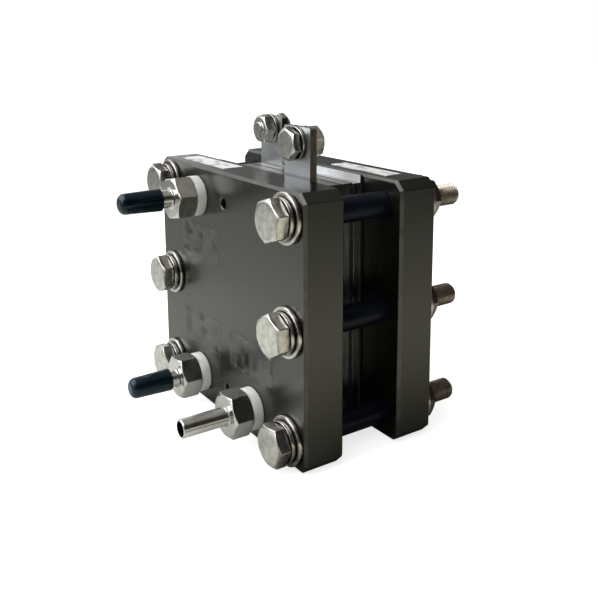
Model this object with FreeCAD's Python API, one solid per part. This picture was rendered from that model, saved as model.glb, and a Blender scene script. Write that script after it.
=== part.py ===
import FreeCAD, Part
import math
import os

# A bench stack that splits water into hydrogen and oxygen.
# Two thick end plates and six clamp bolts squeeze two flat cells between
# two current collectors, whose tabs stand up for the power cables.
# Lengths are millimetres. X runs across the plates, Y from the port side
# to the nut side and Z up. The plates stand on Z = 0.

# Outline of the current collectors, and how far the flow plates, cells and
# seals between them sit inside their sides
STACK_WIDTH = 80.0
STACK_HEIGHT = 112.0
LAYER_INSET = 1.4

# End plates
PLATE_THICKNESS = 20.0
PLATE_MARGIN = 4.0
PLATE_CORNER = 4.0
PLATE_BEVEL = 1.2

# Clamp bolts, nuts and washers
BOLT_DIAMETER = 10.0
BOLT_HEAD_FLATS = 17.0
BOLT_HEAD_HEIGHT = 6.4
BOLT_END_PROUD = 15.8
BOLT_END_CHAMFER = 1.2
BOLT_STACK_GAP = 8.5
BOLT_SIDE_EDGE = 12.7
BOLT_TOP_EDGE = 11.6
NUT_FLATS = 17.0
NUT_HEIGHT = 5.0
WASHER_OUTER = 22.0
WASHER_THICKNESS = 2.0
WASHER_FIT = 0.25
SPRING_WASHER_OUTER = 18.1
SPRING_WASHER_THICKNESS = 2.2
SPRING_WASHER_SLOT = 1.4
SPRING_WASHER_TILT = 25.0
THREAD_FIT = 0.05
HEX_CHAMFER_INSET = 0.4
HEX_CHAMFER_ANGLE = 30.0

# Insulating sleeves on the bolt shanks
SLEEVE_WALL = 0.6
SLEEVE_FIT = 0.2
SLEEVE_HOLE_FIT = 0.2

# Layers of the stack, from an end plate inwards
INSULATION_THICKNESS = 1.2
INSULATION_PLATE_INSET = 0.5
COLLECTOR_THICKNESS = 3.6
COLLECTOR_SEAL_THICKNESS = 1.2
FLOW_PLATE_THICKNESS = 4.6
SEAL_FRAME_THICKNESS = 0.7
MEMBRANE_THICKNESS = 0.2
BIPOLAR_THICKNESS = 5.6

# Active window of a cell and the channels that feed it
WINDOW_SIDE_MARGIN = 10.6
WINDOW_END_MARGIN = 24.0
WINDOW_FIT = 0.3
CHANNEL_WIDTH = 2.0
CHANNEL_PITCH = 4.0
CHANNEL_DEPTH = 1.2
HEADER_WIDTH = 3.0
FEED_WIDTH = 4.0

# Water and gas ports
PORT_SPACING = 50.0
PORT_STACK_EDGE = 10.7
PORT_PASSAGE = 7.0
PORT_RELIEF = 2.0
PORT_FIT = 0.1
COLLAR_OUTER = 19.5
COLLAR_THICKNESS = 5.0
COLLAR_BEVEL = 0.4
FITTING_FLATS = 19.0
FITTING_HEX_HEIGHT = 10.0
FITTING_STEM_DIAMETER = 13.0
FITTING_STEM_DEPTH = 11.0
FITTING_STEM_BORE = 5.0
TUBE_DIAMETER = 8.6
TUBE_WALL = 1.0
TUBE_LENGTH = 21.6
TUBE_TIP_CHAMFER = 0.4
TUBE_ROOT_FLARE = 1.2
RING_BORE = 9.2
RING_SECTION = 1.8
RING_FIT = 0.4

# Push-on caps of the two closed ports
CAP_WALL = 1.1
CAP_TAPER = 0.5
CAP_END_WALL = 1.5
CAP_SHORTFALL = 2.6
CAP_FIT = 0.05
CAP_NOSE_RADIUS = 3.0
CAP_STANDOFF_TOP = 5.3
CAP_STANDOFF_BOTTOM = 3.8

# Probe holes in the front face
PROBE_TOP_DIAMETER = 5.0
PROBE_BOTTOM_DIAMETER = 4.0
PROBE_DEPTH = 12.0
PROBE_COUNTERSINK = 0.5

# Terminal tabs and their bolts
TAB_WIDTH = 20.5
FRONT_TAB_RISE = 26.3
REAR_TAB_RISE = 25.3
TAB_HOLE_RISE = 18.9
TAB_CORNER = 0.8
TAB_ROOT_RADIUS = 2.0
TAB_BOLT_DIAMETER = 8.0
TAB_BOLT_FIT = 0.2
TAB_HEX_FLATS = 13.0
TAB_HEAD_HEIGHT = 4.6
TAB_NUT_HEIGHT = 5.5
TAB_BOLT_PROUD = 1.0
TAB_BOLT_CHAMFER = 0.8
TAB_WASHER_OUTER = 15.0
TAB_WASHER_THICKNESS = 1.6

# Labels on the top edges of the plates and clear films on the front face
LABEL_THICKNESS = 0.25
FRONT_LABEL_LENGTH = 45.0
FRONT_LABEL_WIDTH = 10.2
FRONT_LABEL_SIDE = 14.0
FRONT_LABEL_SETBACK = 5.3
REAR_LABEL_LENGTH = 41.3
REAR_LABEL_WIDTH = 8.7
REAR_LABEL_SIDE = 15.7
REAR_LABEL_SETBACK = 4.5
FILM_WIDTH = 37.6
FILM_HEIGHT = 17.6
FILM_THICKNESS = 0.15
FILM_PORT_DISTANCE = 13.8

# How far each hexagon is turned about its bolt, from X towards Z, in degrees
HEAD_TURN = {
    "top_left": 43.3,
    "middle_left": 27.7,
    "bottom_left": 12.0,
    "top_right": 18.6,
    "middle_right": 32.6,
    "bottom_right": 3.3,
}
NUT_TURN = {
    "top_left": 8.0,
    "middle_left": 51.0,
    "bottom_left": 33.0,
    "top_right": 0.0,
    "middle_right": 5.0,
    "bottom_right": 10.0,
}
SLOT_TURN = {
    "top_left": 170.0,
    "middle_left": 190.0,
    "bottom_left": 230.0,
    "top_right": 175.0,
    "middle_right": 205.0,
    "bottom_right": 200.0,
}
FITTING_TURN = {"top_left": 10.0, "bottom_left": 5.0, "bottom_right": 2.0}
FILM_SHIFT = {"top_left": 1.0, "bottom_left": 0.9, "bottom_right": -2.3}
TAB_HEAD_TURN = {"front": 40.0, "rear": 30.0}
TAB_NUT_TURN = {"front": 19.0, "rear": 0.0}

# Flat washers under the head of each terminal bolt
TAB_HEAD_WASHERS = {"front": 1, "rear": 0}

# Heights and widths that follow from the values above
plate_height = STACK_HEIGHT + 2 * PLATE_MARGIN
middle_z = plate_height / 2
sleeve_radius = BOLT_DIAMETER / 2 + SLEEVE_FIT + SLEEVE_WALL
bolt_x = STACK_WIDTH / 2 + BOLT_STACK_GAP + sleeve_radius
plate_width = 2 * (bolt_x + BOLT_SIDE_EDGE)
bolt_rise = middle_z - BOLT_TOP_EDGE
port_x = PORT_SPACING / 2
port_rise = STACK_HEIGHT / 2 - PORT_STACK_EDGE
stack_top = middle_z + STACK_HEIGHT / 2
tab_hole_x = STACK_WIDTH / 2 - TAB_WIDTH / 2
tab_hole_z = stack_top + TAB_HOLE_RISE
layer_width = STACK_WIDTH - 2 * LAYER_INSET
window_width = layer_width - 2 * WINDOW_SIDE_MARGIN
window_height = STACK_HEIGHT - 2 * WINDOW_END_MARGIN

# Depth of each layer behind the front face of the front plate
cell_thickness = 2 * SEAL_FRAME_THICKNESS + MEMBRANE_THICKNESS
LAYERS = [
    ("front_plate", PLATE_THICKNESS),
    ("front_insulation", INSULATION_THICKNESS),
    ("front_collector", COLLECTOR_THICKNESS),
    ("front_seal", COLLECTOR_SEAL_THICKNESS),
    ("anode_plate", FLOW_PLATE_THICKNESS),
    ("cell_1", cell_thickness),
    ("bipolar_plate", BIPOLAR_THICKNESS),
    ("cell_2", cell_thickness),
    ("cathode_plate", FLOW_PLATE_THICKNESS),
    ("rear_seal", COLLECTOR_SEAL_THICKNESS),
    ("rear_collector", COLLECTOR_THICKNESS),
    ("rear_insulation", INSULATION_THICKNESS),
    ("rear_plate", PLATE_THICKNESS),
]

# Reach of the longest cap in front and of the bolt ends behind
hexagon_reach = COLLAR_THICKNESS + FITTING_HEX_HEIGHT
cap_length = TUBE_LENGTH - CAP_SHORTFALL + CAP_END_WALL
front_reach = hexagon_reach + max(CAP_STANDOFF_TOP, CAP_STANDOFF_BOTTOM) + cap_length
body_depth = sum(thickness for name, thickness in LAYERS)
rear_reach = body_depth + WASHER_THICKNESS + NUT_HEIGHT + BOLT_END_PROUD

# The origin lies midway between those two ends
front_y = (front_reach - rear_reach) / 2
rear_y = front_y + body_depth

BOLTS = {
    "top_left": (-bolt_x, middle_z + bolt_rise),
    "middle_left": (-bolt_x, middle_z),
    "bottom_left": (-bolt_x, middle_z - bolt_rise),
    "top_right": (bolt_x, middle_z + bolt_rise),
    "middle_right": (bolt_x, middle_z),
    "bottom_right": (bolt_x, middle_z - bolt_rise),
}
PORTS = {
    "top_left": (-port_x, middle_z + port_rise),
    "bottom_left": (-port_x, middle_z - port_rise),
    "bottom_right": (port_x, middle_z - port_rise),
}
# Water enters at the bottom right and leaves with oxygen at the top left.
# Hydrogen leaves at the bottom left.
ANODE_PORTS = ("bottom_right", "top_left")
CATHODE_PORTS = ("bottom_left",)


# Basic shapes, all along Y

def layer_span(layer):
    """Front and rear Y of one layer."""
    start = front_y
    for name, thickness in LAYERS:
        if name == layer:
            return start, start + thickness
        start += thickness


def cylinder(radius, y_start, y_end, x=0.0, z=0.0):
    base = FreeCAD.Vector(x, y_start, z)
    return Part.makeCylinder(radius, y_end - y_start, base, FreeCAD.Vector(0, 1, 0))


def ring(outer_radius, inner_radius, y_start, y_end, x=0.0, z=0.0):
    outer = cylinder(outer_radius, y_start, y_end, x, z)
    return outer.cut(cylinder(inner_radius, y_start, y_end, x, z))


def block(width, height, y_start, y_end, x=0.0, z=0.0):
    """A plate of the given width and height, centred on x and z."""
    corner = FreeCAD.Vector(x - width / 2, y_start, z - height / 2)
    return Part.makeBox(width, y_end - y_start, height, corner)


def prism(outline, y_start, y_end):
    """Extrude a closed outline of (x, z) points along Y."""
    points = [FreeCAD.Vector(x, y_start, z) for x, z in outline]
    wire = Part.makePolygon(points + points[:1])
    return Part.Face(wire).extrude(FreeCAD.Vector(0, y_end - y_start, 0))


def turned(profile, x=0.0, z=0.0):
    """Turn a closed profile of (radius, y) points about the Y axis."""
    points = [FreeCAD.Vector(radius, y, 0) for radius, y in profile]
    face = Part.Face(Part.makePolygon(points + points[:1]))
    solid = face.revolve(FreeCAD.Vector(0, 0, 0), FreeCAD.Vector(0, 1, 0), 360)
    solid.translate(FreeCAD.Vector(x, 0, z))
    return solid


def turn_about(shape, x, z, angle):
    """Rotate from X towards Z about a line along Y."""
    shape.rotate(FreeCAD.Vector(x, 0, z), FreeCAD.Vector(0, -1, 0), angle)
    return shape


def cut_at(shape, places, diameter, y_start, y_end):
    """Cut one round hole at each place."""
    for x, z in places:
        shape = shape.cut(cylinder(diameter / 2, y_start, y_end, x, z))
    return shape


def edges_along_y(shape, x, z):
    """Edges that run along Y through the point (x, z)."""
    found = []
    for edge in shape.Edges:
        ends = [vertex.Point for vertex in edge.Vertexes]
        near = [abs(p.x - x) < 0.001 and abs(p.z - z) < 0.001 for p in ends]
        if len(ends) == 2 and all(near):
            found.append(edge)
    return found


# Fasteners

def hexagon(flats, y_start, y_end, x, z, angle, ends):
    """Hexagonal prism whose corners are chamfered at the named ends."""
    corner = flats / 2 / math.cos(math.pi / 6)
    turns = [math.radians(60 * k) for k in range(6)]
    outline = [(corner * math.cos(a), corner * math.sin(a)) for a in turns]
    solid = prism(outline, y_start, y_end)
    rim = flats / 2 - HEX_CHAMFER_INSET
    depth = (corner - rim) * math.tan(math.radians(HEX_CHAMFER_ANGLE))
    profile = [(0, y_start)]
    if "front" in ends:
        profile += [(rim, y_start), (corner, y_start + depth)]
    else:
        profile += [(corner, y_start)]
    if "rear" in ends:
        profile += [(corner, y_end - depth), (rim, y_end)]
    else:
        profile += [(corner, y_end)]
    profile += [(0, y_end)]
    solid = solid.common(turned(profile))
    solid.translate(FreeCAD.Vector(x, 0, z))
    return turn_about(solid, x, z, angle)


def shank(radius, y_start, y_end, chamfer, x, z):
    """Round shank with its free end at y_end, on either side of y_start."""
    inward = chamfer if y_end > y_start else -chamfer
    profile = [(0, y_start), (radius, y_start), (radius, y_end - inward)]
    profile += [(radius - chamfer, y_end), (0, y_end)]
    return turned(profile, x, z)


def spring_washer(outer, bore, y_start, y_end, x, z, slot_angle):
    """Split ring with a slanted slot."""
    solid = ring(outer / 2, bore / 2, y_start, y_end)
    middle = (y_start + y_end) / 2
    reach = 2 * (y_end - y_start)
    corner = FreeCAD.Vector(0, middle - reach, -SPRING_WASHER_SLOT / 2)
    slot = Part.makeBox(outer, 2 * reach, SPRING_WASHER_SLOT, corner)
    centre = FreeCAD.Vector(0, middle, 0)
    slot.rotate(centre, FreeCAD.Vector(1, 0, 0), SPRING_WASHER_TILT)
    solid = solid.cut(slot)
    solid.translate(FreeCAD.Vector(x, 0, z))
    return turn_about(solid, x, z, slot_angle)


# End plates

def plate_blank(y_start, y_end):
    """Rectangular plate with cut corners and a bevel round both faces."""
    half = plate_width / 2
    cut = PLATE_CORNER
    top = plate_height
    outline = [
        (-half + cut, 0),
        (half - cut, 0),
        (half, cut),
        (half, top - cut),
        (half - cut, top),
        (-half + cut, top),
        (-half, top - cut),
        (-half, cut),
    ]
    blank = prism(outline, y_start, y_end)
    faces = [face for face in blank.Faces if len(face.Edges) == len(outline)]
    rims = [edge for face in faces for edge in face.Edges]
    return blank.makeChamfer(PLATE_BEVEL, rims)


def end_plate(layer):
    """Blank with the six holes for the sleeved bolts."""
    y_start, y_end = layer_span(layer)
    hole = 2 * (sleeve_radius + SLEEVE_HOLE_FIT)
    return cut_at(plate_blank(y_start, y_end), BOLTS.values(), hole, y_start, y_end)


def probe_hole(diameter, z):
    """Blind hole with a light countersink in the front face."""
    radius = diameter / 2
    rim = radius + PROBE_COUNTERSINK
    profile = [
        (0, front_y),
        (rim, front_y),
        (radius, front_y + PROBE_COUNTERSINK),
        (radius, front_y + PROBE_DEPTH),
        (0, front_y + PROBE_DEPTH),
    ]
    return turned(profile, 0, z)


def front_end_plate():
    """End plate with ports, sealing recesses behind them and probe holes."""
    y_start, y_end = layer_span("front_plate")
    plate = end_plate("front_plate")
    port_hole = FITTING_STEM_DIAMETER + 2 * PORT_FIT
    port_bottom = y_start + FITTING_STEM_DEPTH + PORT_RELIEF
    recess = RING_BORE + 2 * RING_SECTION + 2 * RING_FIT
    plate = cut_at(plate, PORTS.values(), port_hole, y_start, port_bottom)
    plate = cut_at(plate, PORTS.values(), PORT_PASSAGE, y_start, y_end)
    plate = cut_at(plate, PORTS.values(), recess, y_end - RING_SECTION, y_end)
    plate = plate.cut(probe_hole(PROBE_TOP_DIAMETER, middle_z + port_rise))
    return plate.cut(probe_hole(PROBE_BOTTOM_DIAMETER, middle_z - port_rise))


def port_seal_rings():
    """Square-section rings, pressed flat in their recesses."""
    y_end = layer_span("front_plate")[1]
    y_start = y_end - RING_SECTION
    inner = RING_BORE / 2
    outer = inner + RING_SECTION
    rings = [ring(outer, inner, y_start, y_end, x, z) for x, z in PORTS.values()]
    return Part.makeCompound(rings)


# Insulation sheets and current collectors

def insulation_sheet(layer, ports):
    y_start, y_end = layer_span(layer)
    height = plate_height - 2 * INSULATION_PLATE_INSET
    sheet = block(STACK_WIDTH, height, y_start, y_end, 0, middle_z)
    return cut_at(sheet, ports, PORT_PASSAGE, y_start, y_end)


def current_collector(layer, side, tab_rise, ports):
    """Plate with a drilled terminal tab flush with one of its sides."""
    y_start, y_end = layer_span(layer)
    edge = STACK_WIDTH / 2
    inner = edge - TAB_WIDTH
    bottom = middle_z - STACK_HEIGHT / 2
    tab_top = stack_top + tab_rise
    outline = [
        (-edge, bottom),
        (edge, bottom),
        (edge, tab_top),
        (inner, tab_top),
        (inner, stack_top),
        (-edge, stack_top),
    ]
    outline = [(side * x, z) for x, z in outline]
    plate = prism(outline, y_start, y_end)
    root = edges_along_y(plate, side * inner, stack_top)
    plate = plate.makeFillet(TAB_ROOT_RADIUS, root)
    corners = edges_along_y(plate, side * inner, tab_top)
    corners += edges_along_y(plate, side * edge, tab_top)
    plate = plate.makeChamfer(TAB_CORNER, corners)
    tab_hole = TAB_BOLT_DIAMETER + 2 * TAB_BOLT_FIT
    place = [(side * tab_hole_x, tab_hole_z)]
    plate = cut_at(plate, place, tab_hole, y_start, y_end)
    return cut_at(plate, ports, PORT_PASSAGE, y_start, y_end)


# Seals, flow plates and cells

def framed_seal(y_start, y_end, ports):
    """Flat seal with the active window and the passages cut out."""
    frame = block(layer_width, STACK_HEIGHT, y_start, y_end, 0, middle_z)
    window = block(window_width, window_height, y_start, y_end, 0, middle_z)
    return cut_at(frame.cut(window), ports, PORT_PASSAGE, y_start, y_end)


def window_filler(y_start, y_end):
    """Pad that fills the active window with a small gap all round."""
    width = window_width - 2 * WINDOW_FIT
    height = window_height - 2 * WINDOW_FIT
    return block(width, height, y_start, y_end, 0, middle_z)


def flow_field(y_start, y_end, port_names):
    """Cutter for parallel channels, their two headers and the port feeds."""
    top = middle_z + window_height / 2
    bottom = middle_z - window_height / 2
    width = window_width - 2 * WINDOW_FIT
    count = int(width // CHANNEL_PITCH)
    first = -(count - 1) * CHANNEL_PITCH / 2
    span = (count - 1) * CHANNEL_PITCH + CHANNEL_WIDTH
    parts = []
    for k in range(count):
        x = first + k * CHANNEL_PITCH
        parts.append(block(CHANNEL_WIDTH, window_height, y_start, y_end, x, middle_z))
    for z in (top - HEADER_WIDTH / 2, bottom + HEADER_WIDTH / 2):
        parts.append(block(span, HEADER_WIDTH, y_start, y_end, 0, z))
    for name in port_names:
        x, z = PORTS[name]
        inner = top - HEADER_WIDTH / 2 if z > middle_z else bottom + HEADER_WIDTH / 2
        length = abs(inner - z)
        parts.append(block(FEED_WIDTH, length, y_start, y_end, x, (inner + z) / 2))
        parts.append(cylinder(PORT_PASSAGE / 2, y_start, y_end, x, z))
    return parts[0].fuse(parts[1:]).removeSplitter()


def stack_plate(y_start, y_end, ports):
    plate = block(layer_width, STACK_HEIGHT, y_start, y_end, 0, middle_z)
    return cut_at(plate, ports, PORT_PASSAGE, y_start, y_end)


def anode_flow_plate():
    """Water channels at the rear, contact pad towards the front collector."""
    y_start, y_end = layer_span("anode_plate")
    plate = stack_plate(y_start, y_end, PORTS.values())
    plate = plate.fuse(window_filler(layer_span("front_seal")[0], y_start))
    return plate.cut(flow_field(y_end - CHANNEL_DEPTH, y_end, ANODE_PORTS))


def cathode_flow_plate():
    """Gas channels at the front, contact pad towards the rear collector."""
    y_start, y_end = layer_span("cathode_plate")
    plate = stack_plate(y_start, y_end, [])
    plate = plate.fuse(window_filler(y_end, layer_span("rear_seal")[1]))
    return plate.cut(flow_field(y_start, y_start + CHANNEL_DEPTH, CATHODE_PORTS))


def bipolar_plate():
    """Gas channels for the first cell, water channels for the second."""
    y_start, y_end = layer_span("bipolar_plate")
    plate = stack_plate(y_start, y_end, PORTS.values())
    plate = plate.cut(flow_field(y_start, y_start + CHANNEL_DEPTH, CATHODE_PORTS))
    return plate.cut(flow_field(y_end - CHANNEL_DEPTH, y_end, ANODE_PORTS))


def cell_parts(layer):
    """The five layers of one cell, front to rear."""
    y_start, y_end = layer_span(layer)
    membrane_front = y_start + SEAL_FRAME_THICKNESS
    membrane_rear = membrane_front + MEMBRANE_THICKNESS
    return {
        "anode_seal_frame": framed_seal(y_start, membrane_front, PORTS.values()),
        "titanium_mesh": window_filler(y_start, membrane_front),
        "membrane": stack_plate(membrane_front, membrane_rear, PORTS.values()),
        "carbon_paper": window_filler(membrane_rear, y_end),
        "cathode_seal_frame": framed_seal(membrane_rear, y_end, PORTS.values()),
    }


# Clamp bolts with their washers, nuts and sleeves

def clamp_bolt(place):
    x, z = BOLTS[place]
    seat = front_y - WASHER_THICKNESS - SPRING_WASHER_THICKNESS
    end = front_y + rear_reach
    front = seat - BOLT_HEAD_HEIGHT
    head = hexagon(BOLT_HEAD_FLATS, front, seat, x, z, HEAD_TURN[place], ["front"])
    return head.fuse(shank(BOLT_DIAMETER / 2, seat, end, BOLT_END_CHAMFER, x, z))


def insulating_sleeve(place):
    x, z = BOLTS[place]
    bore = BOLT_DIAMETER / 2 + SLEEVE_FIT
    return ring(sleeve_radius, bore, front_y, rear_y, x, z)


def flat_washers(y_start, y_end):
    bore = BOLT_DIAMETER / 2 + WASHER_FIT
    outer = WASHER_OUTER / 2
    washers = [ring(outer, bore, y_start, y_end, x, z) for x, z in BOLTS.values()]
    return Part.makeCompound(washers)


def clamp_spring_washers():
    y_end = front_y - WASHER_THICKNESS
    y_start = y_end - SPRING_WASHER_THICKNESS
    bore = BOLT_DIAMETER + 2 * WASHER_FIT
    washers = []
    for place, (x, z) in BOLTS.items():
        turn = SLOT_TURN[place]
        washers.append(spring_washer(SPRING_WASHER_OUTER, bore, y_start, y_end, x, z, turn))
    return Part.makeCompound(washers)


def nut(flats, bolt_diameter, y_start, y_end, x, z, angle, free_end):
    """Hexagon nut, chamfered at its free end."""
    body = hexagon(flats, y_start, y_end, x, z, angle, [free_end])
    return body.cut(cylinder(bolt_diameter / 2 + THREAD_FIT, y_start, y_end, x, z))


def clamp_nuts():
    y_start = rear_y + WASHER_THICKNESS
    y_end = y_start + NUT_HEIGHT
    nuts = []
    for place, (x, z) in BOLTS.items():
        turn = NUT_TURN[place]
        nuts.append(nut(NUT_FLATS, BOLT_DIAMETER, y_start, y_end, x, z, turn, "rear"))
    return Part.makeCompound(nuts)


# Port fittings, collars and caps

def port_fitting(place):
    """Hexagonal fitting with a stem in the plate and a plain tube in front."""
    x, z = PORTS[place]
    hex_rear = front_y - COLLAR_THICKNESS
    hex_front = hex_rear - FITTING_HEX_HEIGHT
    turn = FITTING_TURN[place]
    body = hexagon(FITTING_FLATS, hex_front, hex_rear, x, z, turn, ["front", "rear"])
    tip = hex_front - TUBE_LENGTH
    tube = TUBE_DIAMETER / 2
    profile = [
        (0, tip),
        (tube - TUBE_TIP_CHAMFER, tip),
        (tube, tip + TUBE_TIP_CHAMFER),
        (tube, hex_front - TUBE_ROOT_FLARE),
        (tube + TUBE_ROOT_FLARE / 4, hex_front - TUBE_ROOT_FLARE / 4),
        (tube + TUBE_ROOT_FLARE, hex_front),
        (0, hex_front),
    ]
    body = body.fuse(turned(profile, x, z))
    stem_end = front_y + FITTING_STEM_DEPTH
    body = body.fuse(cylinder(FITTING_STEM_DIAMETER / 2, hex_rear, stem_end, x, z))
    body = body.cut(cylinder(tube - TUBE_WALL, tip, hex_rear, x, z))
    return body.cut(cylinder(FITTING_STEM_BORE / 2, hex_rear, stem_end, x, z))


def port_collar(place):
    """Soft white ring between the fitting and the plate."""
    x, z = PORTS[place]
    outer = COLLAR_OUTER / 2
    bore = FITTING_STEM_DIAMETER / 2 + PORT_FIT
    face = front_y - COLLAR_THICKNESS
    profile = [
        (bore, face),
        (outer - COLLAR_BEVEL, face),
        (outer, face + COLLAR_BEVEL),
        (outer, front_y - COLLAR_BEVEL),
        (outer - COLLAR_BEVEL, front_y),
        (bore, front_y),
    ]
    return turned(profile, x, z)


def port_cap(place, standoff):
    """Slightly tapered cap with a rounded nose, pushed over a tube."""
    x, z = PORTS[place]
    mouth = front_y - hexagon_reach - standoff
    nose = mouth - cap_length
    bore = TUBE_DIAMETER / 2 + CAP_FIT
    mouth_radius = bore + CAP_WALL
    nose_radius = mouth_radius - CAP_TAPER
    rounding = min(CAP_NOSE_RADIUS, nose_radius)
    shell = turned([(0, nose), (nose_radius, nose), (mouth_radius, mouth), (0, mouth)])
    rim = [edge for edge in shell.Edges if is_circle_at(edge, nose_radius, nose)]
    shell = shell.makeFillet(rounding, rim)
    shell = shell.cut(cylinder(bore, nose + CAP_END_WALL, mouth))
    shell.translate(FreeCAD.Vector(x, 0, z))
    return shell


def is_circle_at(edge, radius, y):
    """True for a round edge of that radius at that Y."""
    if not isinstance(edge.Curve, Part.Circle):
        return False
    centre = edge.Curve.Center
    return abs(edge.Curve.Radius - radius) < 0.001 and abs(centre.y - y) < 0.001


# Terminal bolts. Each head lies on the outer face of its tab.

def tab_stations(end):
    """Outer tab face, inner tab face and the way out along Y."""
    y_start, y_end = layer_span(end + "_collector")
    if end == "front":
        return y_start, y_end, -1
    return y_end, y_start, 1


def tab_place(end):
    side = 1 if end == "front" else -1
    return side * tab_hole_x, tab_hole_z


def tab_bolt(end):
    x, z = tab_place(end)
    outer, inner, way = tab_stations(end)
    seat = outer + way * TAB_HEAD_WASHERS[end] * TAB_WASHER_THICKNESS
    top = seat + way * TAB_HEAD_HEIGHT
    tail = inner - way * (TAB_WASHER_THICKNESS + TAB_NUT_HEIGHT + TAB_BOLT_PROUD)
    low, high = sorted((seat, top))
    head = hexagon(TAB_HEX_FLATS, low, high, x, z, TAB_HEAD_TURN[end], [end])
    return head.fuse(shank(TAB_BOLT_DIAMETER / 2, seat, tail, TAB_BOLT_CHAMFER, x, z))


def tab_flat_washers():
    """A flat washer under each nut and under the front bolt's head."""
    bore = TAB_BOLT_DIAMETER / 2 + WASHER_FIT
    washers = []
    for end in ("front", "rear"):
        x, z = tab_place(end)
        outer, inner, way = tab_stations(end)
        faces = [(inner, -way)] + [(outer, way)] * TAB_HEAD_WASHERS[end]
        for face, step in faces:
            low, high = sorted((face, face + step * TAB_WASHER_THICKNESS))
            washers.append(ring(TAB_WASHER_OUTER / 2, bore, low, high, x, z))
    return Part.makeCompound(washers)


def tab_nuts():
    nuts = []
    for end in ("front", "rear"):
        x, z = tab_place(end)
        outer, inner, way = tab_stations(end)
        start = inner - way * TAB_WASHER_THICKNESS
        low, high = sorted((start, start - way * TAB_NUT_HEIGHT))
        turn = TAB_NUT_TURN[end]
        free = "rear" if end == "front" else "front"
        nuts.append(nut(TAB_HEX_FLATS, TAB_BOLT_DIAMETER, low, high, x, z, turn, free))
    return Part.makeCompound(nuts)


# Labels and films

def front_top_label():
    x = -plate_width / 2 + FRONT_LABEL_SIDE
    y = front_y + FRONT_LABEL_SETBACK
    corner = FreeCAD.Vector(x, y, plate_height)
    return Part.makeBox(FRONT_LABEL_LENGTH, FRONT_LABEL_WIDTH, LABEL_THICKNESS, corner)


def rear_top_label():
    x = plate_width / 2 - REAR_LABEL_SIDE - REAR_LABEL_LENGTH
    y = layer_span("rear_plate")[0] + REAR_LABEL_SETBACK
    corner = FreeCAD.Vector(x, y, plate_height)
    return Part.makeBox(REAR_LABEL_LENGTH, REAR_LABEL_WIDTH, LABEL_THICKNESS, corner)


def port_film(place):
    """Clear film between a port and the middle of the front face."""
    x, z = PORTS[place]
    inward = -1 if z > middle_z else 1
    centre = z + inward * (FILM_PORT_DISTANCE + FILM_HEIGHT / 2)
    x += FILM_SHIFT[place]
    return block(FILM_WIDTH, FILM_HEIGHT, front_y - FILM_THICKNESS, front_y, x, centre)


# Build and save every piece

def save(name, shape):
    os.makedirs("parts", exist_ok=True)
    shape.exportStep("parts/" + name + ".step")


def save_plates():
    save("front_end_plate", front_end_plate())
    save("rear_end_plate", end_plate("rear_plate"))
    save("port_seal_rings", port_seal_rings())
    save("front_insulation_sheet", insulation_sheet("front_insulation", PORTS.values()))
    save("rear_insulation_sheet", insulation_sheet("rear_insulation", []))
    front = current_collector("front_collector", 1, FRONT_TAB_RISE, PORTS.values())
    rear = current_collector("rear_collector", -1, REAR_TAB_RISE, [])
    save("front_current_collector", front)
    save("rear_current_collector", rear)


def save_stack():
    save("front_collector_seal", framed_seal(*layer_span("front_seal"), PORTS.values()))
    save("rear_collector_seal", framed_seal(*layer_span("rear_seal"), []))
    save("anode_flow_plate", anode_flow_plate())
    save("bipolar_plate", bipolar_plate())
    save("cathode_flow_plate", cathode_flow_plate())
    for layer in ("cell_1", "cell_2"):
        for name, shape in cell_parts(layer).items():
            save(layer + "_" + name, shape)


def save_clamping():
    for place in BOLTS:
        save("clamp_bolt_" + place, clamp_bolt(place))
        save("insulating_sleeve_" + place, insulating_sleeve(place))
    save("clamp_front_washers", flat_washers(front_y - WASHER_THICKNESS, front_y))
    save("clamp_rear_washers", flat_washers(rear_y, rear_y + WASHER_THICKNESS))
    save("clamp_spring_washers", clamp_spring_washers())
    save("clamp_nuts", clamp_nuts())


def save_ports():
    for place in PORTS:
        save("port_fitting_" + place, port_fitting(place))
        save("port_collar_" + place, port_collar(place))
        save("port_film_" + place, port_film(place))
    save("port_cap_top_left", port_cap("top_left", CAP_STANDOFF_TOP))
    save("port_cap_bottom_left", port_cap("bottom_left", CAP_STANDOFF_BOTTOM))


def save_terminals():
    for end in ("front", "rear"):
        save("tab_bolt_" + end, tab_bolt(end))
    save("tab_flat_washers", tab_flat_washers())
    save("tab_nuts", tab_nuts())
    save("front_top_label", front_top_label())
    save("rear_top_label", rear_top_label())


save_plates()
save_stack()
save_clamping()
save_ports()
save_terminals()
print("plate", plate_width, "by", plate_height, "gap", body_depth - 2 * PLATE_THICKNESS)
print("front reach", front_reach, "rear reach", rear_reach, "front face at", front_y)
print("bolt x", bolt_x, "bolt rise", bolt_rise, "port x", port_x, "port rise", port_rise)
print("tab top", stack_top + FRONT_TAB_RISE, "tab hole", tab_hole_x, tab_hole_z)
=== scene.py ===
# %% [markdown]
# # A water electrolyser stack
# Two dark anodised plates squeeze a thin pack of cells between them. Six long
# bolts in black sleeves hold the plates together. The solids come from the
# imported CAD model, so their sizes and places are already right. This script
# gives each one its finish, softens its edges, and adds what is too fine for
# CAD, such as screw threads. Everything is in metres, and `MM` turns a length
# on a drawing into metres.

import math

import bpy
from mathutils import Matrix, Vector


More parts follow.
